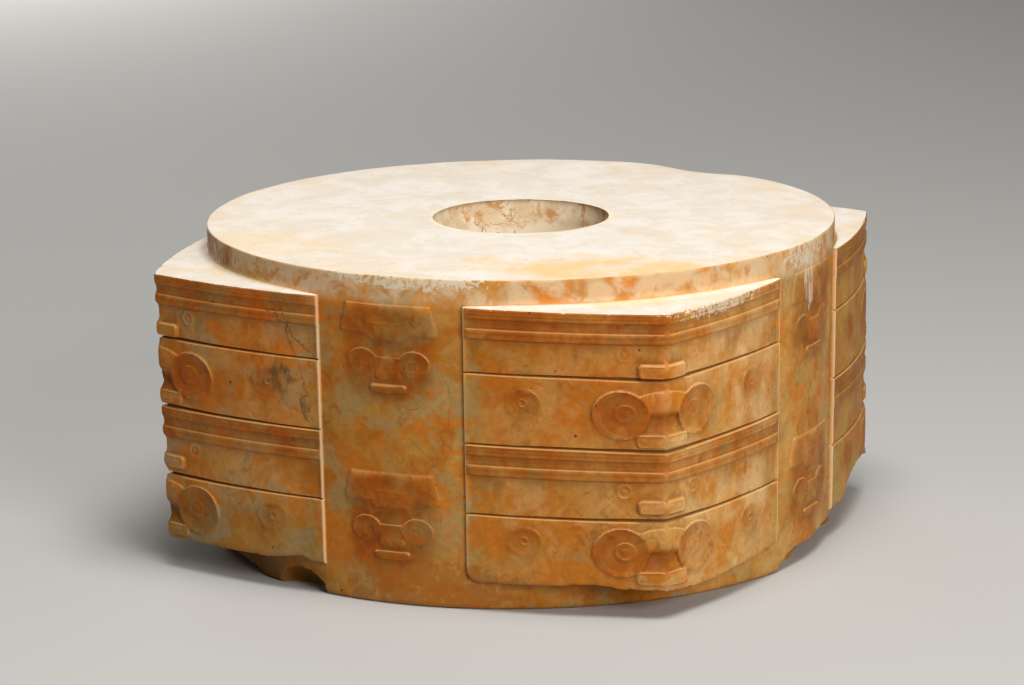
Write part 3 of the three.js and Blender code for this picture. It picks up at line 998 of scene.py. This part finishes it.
grain_shade = sum_node("MULTIPLY_ADD", cloud_layer(1.8, 5.5, 6, 0.7, 0.2), 0.8, 0.6)
coat(grain_shade, 1.0, blend="MULTIPLY")
print(f"{len(coats)} coats with the clouds")

# %% [markdown]
# ### Smudges, veins and specks
# Small rusty smudges lie all over. A vein is where a noise passes through its middle value, so it's a
# thin crooked line, and it only shows where a second, larger noise lets it. Specks are small cells of
# dark mineral.

# %% Lay smudges, veins and specks
smudge = mask(cloud_layer(3.4, 53.0, 6, 0.66, 0.5), 0.57, 0.68, 0.7)
coat((0.36, 0.10, 0.010), smudge, mask(cloud_layer(18, 57.0, 2), 0.40, 0.55))


def thin_lines(noise, width):
    """The lines where a noise passes through its middle value."""
    return mask(sum_node("ABSOLUTE", sum_node("SUBTRACT", noise, 0.5)), width, 0.0)


vein = thin_lines(cloud_layer(16, 61.0, 3, 0.5, 0.5), 0.016)
coat(RUSTY_BROWN, vein, mask(cloud_layer(20, 71.0, 2), 0.58, 0.66, 0.4))

cell_inputs = {"Vector": placed((9.0, 4.0, 2.0)), "Scale": 1 / 5.5, "Randomness": 1.0}
cells = node_with("TexVoronoi", cell_inputs)
ragged = sum_node("MULTIPLY_ADD", cloud_layer(0.8, 59.0, 3), 0.16, -0.08)
speck_distance = sum_node("ADD", cells["Distance"], ragged)
speck = mask(speck_distance, 0.08, 0.03)
few = mask(node_with("SeparateColor", {0: cells["Color"]})[0], 0.56, 0.60, 0.9)
coat((0.05, 0.02, 0.008), speck, few)
print(f"{len(coats)} coats with the specks")

# %% [markdown]
# ### Tube, carving, dirt and painted light
# The stone's tint changes from side to side, and the tube is browner than the blocks. So is the
# carving, where earth has stayed in the fine lines, and the hollows are darker still: dirt together
# with painted shade. The edges that face up are lighter, rubbed by hands and also painted with a
# highlight, and the blocks' edges by the grooves get the palest painted highlight, weaker on the one
# that faces away from the light. Where the stone broke, its inside is a fresher brown. The low
# collar under the left block is darkened and browned with a painted shadow.

# %% Tint the sides, lay dirt in the carving and paint shade and highlights
front_tint = lay((0.82, 0.68, 0.50), (0.83, 0.76, 0.66), mask(level_up, 50, 36))
coat(front_tint, front_side, mask(from_axis, 87.3, 88.2), blend="MULTIPLY")
coat((0.79, 0.80, 0.48), back_right, blend="MULTIPLY")
coat((0.74, 0.85, 0.90), mask(level_up, 30, 14), on_left_block, blend="MULTIPLY")
plain_tube = times(on_tube, mask(level_up, 84, 78))
coat((0.74, 0.67, 0.46), plain_tube, front_side, blend="MULTIPLY")
coat((0.84, 0.76, 0.48), plain_tube, right_side, blend="MULTIPLY")
stain_strength = sum_node("MULTIPLY_ADD", cloud_layer(6, 47.0, 5, 0.6), 2.0, -0.15)
coat((0.69, 0.48, 0.20), point_value("stain"), stain_strength, blend="MULTIPLY")
coat((0.62, 0.36, 0.15), point_value("loss"), 0.6)
# Rusty brown in the hollows: earth in the carving, and painted shade in the recesses.
coat(RUSTY_BROWN, point_value("hollow"), 0.75)
# Edges facing up are lighter: rubbed wear, and a painted highlight where the overhead light catches
# them.
coat((0.74, 0.43, 0.17), point_value("edge"), mask(facing_up, 0.0, 0.35, 0.4))
# A painted highlight on the blocks' edges by the grooves, weaker on the front block's edge that faces
# away from the light.
lip_out_of_light = near((22, -87, 44), (12, 12, 70))
coat((0.85, 0.60, 0.36), point_value("lip"), sum_node("MULTIPLY_ADD", lip_out_of_light, -0.55, 0.75))
# Painted shadow: the low collar under the left block is made darker and browner.
coat((0.62, 0.50, 0.36), near((-52, -68, 0), (42, 30, 13)), blend="MULTIPLY")
print(f"{len(coats)} coats with the dirt")

# %% [markdown]
# ### The whitened top, with painted light
# The surfaces that face up are made nearly white, the disc most of all: the stone's own whitening
# and painted light from the strong lamp overhead, in one. Yellow and orange stains gather at its rim,
# on two sides more than elsewhere. The wall of the bore is beige, with the brown traces of fine roots
# on one side.

# %% Whiten what faces up and paint the overhead light on it
pale_cloud = mask(cloud_layer(12, 83.0, 8, 0.7, 0.5), 0.40, 0.60)
pale_and_lit_stone = lay((0.69, 0.635, 0.545), (0.75, 0.72, 0.67), pale_cloud)
pale_spot = mask(cloud_layer(4, 91.0, 7, 0.7, 0.8), 0.58, 0.70, 0.5)
pale_and_lit_stone = lay(pale_and_lit_stone, (0.57, 0.45, 0.32), pale_spot)
rim_noise = mask(cloud_layer(15, 101.0, 4, 0.55, 0.9), 0.42, 0.62)
pale_and_lit_stone = lay(pale_and_lit_stone, (0.72, 0.52, 0.30), times(rim_noise, mask(from_axis, 60, 84), 0.35))
orange_patch = patch((52, -60, 89), (56, 26, 12), 12, 131.0, 0.34, 0.72)
pale_and_lit_stone = lay(pale_and_lit_stone, (0.80, 0.50, 0.18), times(orange_patch, 0.8))
yellow_patch = patch((-52, -60, 89), (40, 24, 12), 10, 137.0, 0.38, 0.70)
pale_and_lit_stone = lay(pale_and_lit_stone, (0.76, 0.58, 0.32), times(yellow_patch, 0.6))
# The top and the ledges, where they face up: whitened stone and painted overhead light together.
up_facing_whitened_and_lit = times(mask(facing_up, 0.72, 0.97), mask(level_up, 79.0, 80.2))
coat(pale_and_lit_stone, up_facing_whitened_and_lit, 0.93)

bore_colour = lay((0.80, 0.70, 0.52), (0.66, 0.52, 0.34), mask(cloud_layer(7, 107.0, 5), 0.45, 0.65))
root = thin_lines(cloud_layer(7, 113.0, 5, 0.65, 1.4), 0.02)
bore_colour = lay(bore_colour, (0.26, 0.09, 0.022), times(root, near((-16, 18, 83), (12, 12, 11))))
coat(bore_colour, mask(from_axis, 25.8, 25.2), 0.9)
print(f"{len(coats)} coats with the top and the bore")

# %% [markdown]
# ### Crusts
# The upper collar is paler than the faces, with orange patches, and the lower one is rusty in front.
# Thin whitish crusts sit on the front rim and on the top edge of the front block, and lime has run
# down in drips on the right.

# %% Lay pale collar, crusts and drips
side_facing = mask(facing_up, 0.9, 0.5)
collar_wall = times(on_tube, mask(level_up, 80, 84), side_facing)
coat((0.62, 0.45, 0.27), collar_wall, mask(cloud_layer(9, 139.0, 5, 0.6, 0.6), 0.38, 0.58), 0.8)
coat((0.48, 0.19, 0.03), collar_wall, mask(cloud_layer(6, 191.0, 6, 0.65, 0.5), 0.51, 0.63, 0.75))
coat((0.30, 0.095, 0.012), patch((14, -85, 5), (44, 14, 12), 3, 193.0, 0.44, 0.60), 0.7)

rim_crust = patch((8, -86, 88.3), (46, 10, 4.6), 1.4, 149.0, 0.55, 0.60)
corner_crust = patch((81, -55, 81.2), (14, 34, 5), 1.5, 151.0, 0.52, 0.60)
right_crust = patch((86, -6, 87), (9, 22, 7.5), 1.5, 157.0, 0.545, 0.60)
drips = patch((86.5, -4, 79), (9, 6, 17), 0.9, 163.0, 0.58, 0.63, (1, 1, 0.12))
for crust, strength in ((rim_crust, 0.8), (corner_crust, 0.65), (right_crust, 0.7), (drips, 0.7)):
    coat((0.66, 0.58, 0.43), crust, strength)
print(f"{len(coats)} coats with the crusts")

# %% [markdown]
# ### Dark stains and cracks
# Manganese has drawn dark streaks on the left block, and a few cracks have filled with dirt. A crack
# lies where a plane cuts the face, and soft noise bends the plane.

# %% Draw the stains and cracks
def crack(start, end, facing, seed):
    """A thin dark line from start to end, on a face that looks along facing.

    The plane through the line and the facing direction has the normal n = (end - start) x facing.
    The line is where |n . p - n . start + bend| is small, and it fades out beyond both ends.
    """
    start, end = Vector(start), Vector(end)
    normal = (end - start).cross(Vector(facing)).normalized()
    product = node_with("VectorMath", {0: placed(), 1: normal}, operation="DOT_PRODUCT")["Value"]
    bend = sum_node("MULTIPLY_ADD", cloud_layer(7, seed, 5, 0.6, 0.3), 9.0, -4.5 - normal.dot(start))
    apart = sum_node("ABSOLUTE", sum_node("ADD", product, bend))
    reach = (end - start).length * 0.75
    return times(mask(apart, 0.40, 0.06), near((start + end) / 2, (reach, reach, reach)))


dark = (0.10, 0.045, 0.014)
pits = patch((-66, -56, 86), (34, 34, 7), 1.6, 179.0, 0.56, 0.64, (1, 1, 0.4))
wide_streak = patch((-33, -84, 58.5), (5, 9, 11), 2.4, 167.0, 0.42, 0.72, (1, 1, 0.45))
thin_streak = patch((-25.5, -85, 51), (2.8, 9, 6), 1.6, 173.0, 0.44, 0.72, (1, 1, 0.5))
for streak, strength in ((times(pits, side_facing), 0.6), (wide_streak, 0.85), (thin_streak, 0.8)):
    coat(dark, streak, strength)
cracks = (
    ((-37, -84, 78), (-24, -85, 66), (0, -1, 0), 181.0, 0.75),
    ((-33, -84, 79), (-27, -85, 64), (0, -1, 0), 187.0, 0.6),
    ((-27, -85, 62), (-24, -85, 46), (0, -1, 0), 197.0, 0.6),
    ((86, -2, 52), (86, -3, 34), (1, 0, 0), 199.0, 0.6),
)
for start, end, facing, seed, strength in cracks:
    coat(dark, crack(start, end, facing, seed), strength)
tree.links.new(coats[-1], shader.inputs["Base Color"])
print(f"{len(coats)} coats in all")

# %% [markdown]
# ### The surface
# Polished jade has a waxy sheen, dulled where it has whitened, with fine pits.

# %% Finish the surface
rough_share = mask(cloud_layer(6, 111.0, 4), 0.3, 0.7)
roughness = sum_node("MULTIPLY_ADD", rough_share, 0.14, 0.44)
roughness = sum_node("MULTIPLY_ADD", up_facing_whitened_and_lit, 0.15, roughness)
tree.links.new(roughness, shader.inputs["Roughness"])
shader.inputs["IOR"].default_value = 1.5
shader.inputs["Specular IOR Level"].default_value = 0.16
pits_height = cloud_layer(1.1, 121.0, 6, 0.7, 0.0)
bump = node_with("Bump", {"Strength": 0.35, "Distance": 0.15 * MM, "Height": pits_height})
tree.links.new(bump[0], shader.inputs["Normal"])
stone.data.materials.clear()
stone.data.materials.append(jade)
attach(stone, "root")
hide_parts("jade_cong")
print(f"the material has {len(tree.nodes)} nodes")

# %% [markdown]
# ## Floor and light
# A plain pale floor, a large soft light overhead that grazes the upright faces, so every step of the
# carving shows, one from the right, and a weak one from behind for the sides that the picture hides.

# %% Lay the floor and light the stone
floor_mesh = bpy.data.meshes.new("floor")
floor_mesh.from_pydata([(-4, -4, 0), (4, -4, 0), (4, 4, 0), (-4, 4, 0)], [], [(0, 1, 2, 3)])
floor = bpy.data.objects.new("floor", floor_mesh)
bpy.context.scene.collection.objects.link(floor)
paper = bpy.data.materials.new("pale_paper")
paper.use_nodes = True
paper_shader = paper.node_tree.nodes["Principled BSDF"]
paper_shader.inputs["Base Color"].default_value = (0.45, 0.45, 0.44, 1)
paper_shader.inputs["Roughness"].default_value = 0.9
floor_mesh.materials.append(paper)

world = bpy.data.worlds.new("studio")
world.use_nodes = True
sky = world.node_tree.nodes["Background"]
sky.inputs["Color"].default_value = (1.0, 0.95, 0.88, 1)
sky.inputs["Strength"].default_value = 0.11
bpy.context.scene.world = world
bpy.context.scene.view_settings.view_transform = "Standard"


def soft_light(name, place, target, size, power, colour):
    """A square soft light that faces its target."""
    data = bpy.data.lights.new(name, "AREA")
    data.size = size
    data.energy = power
    data.color = colour
    lamp = bpy.data.objects.new(name, data)
    bpy.context.scene.collection.objects.link(lamp)
    facing = (Vector(target) - Vector(place)).to_track_quat("-Z", "Y")
    lamp.matrix_world = Matrix.Translation(place) @ facing.to_matrix().to_4x4()
    return lamp


soft_light("overhead", (0.20, -0.20, 0.95), (0, 0, 0.05), 0.45, 9.3, (1, 0.98, 0.945))
soft_light("from_right", (0.92, -0.76, 0.5), (0, 0, 0.05), 0.5, 10.3, (1, 0.98, 0.95))
soft_light("from_behind", (-0.85, 0.9, 0.2), (0, 0, 0.05), 0.6, 4.5, (1, 0.98, 0.95))
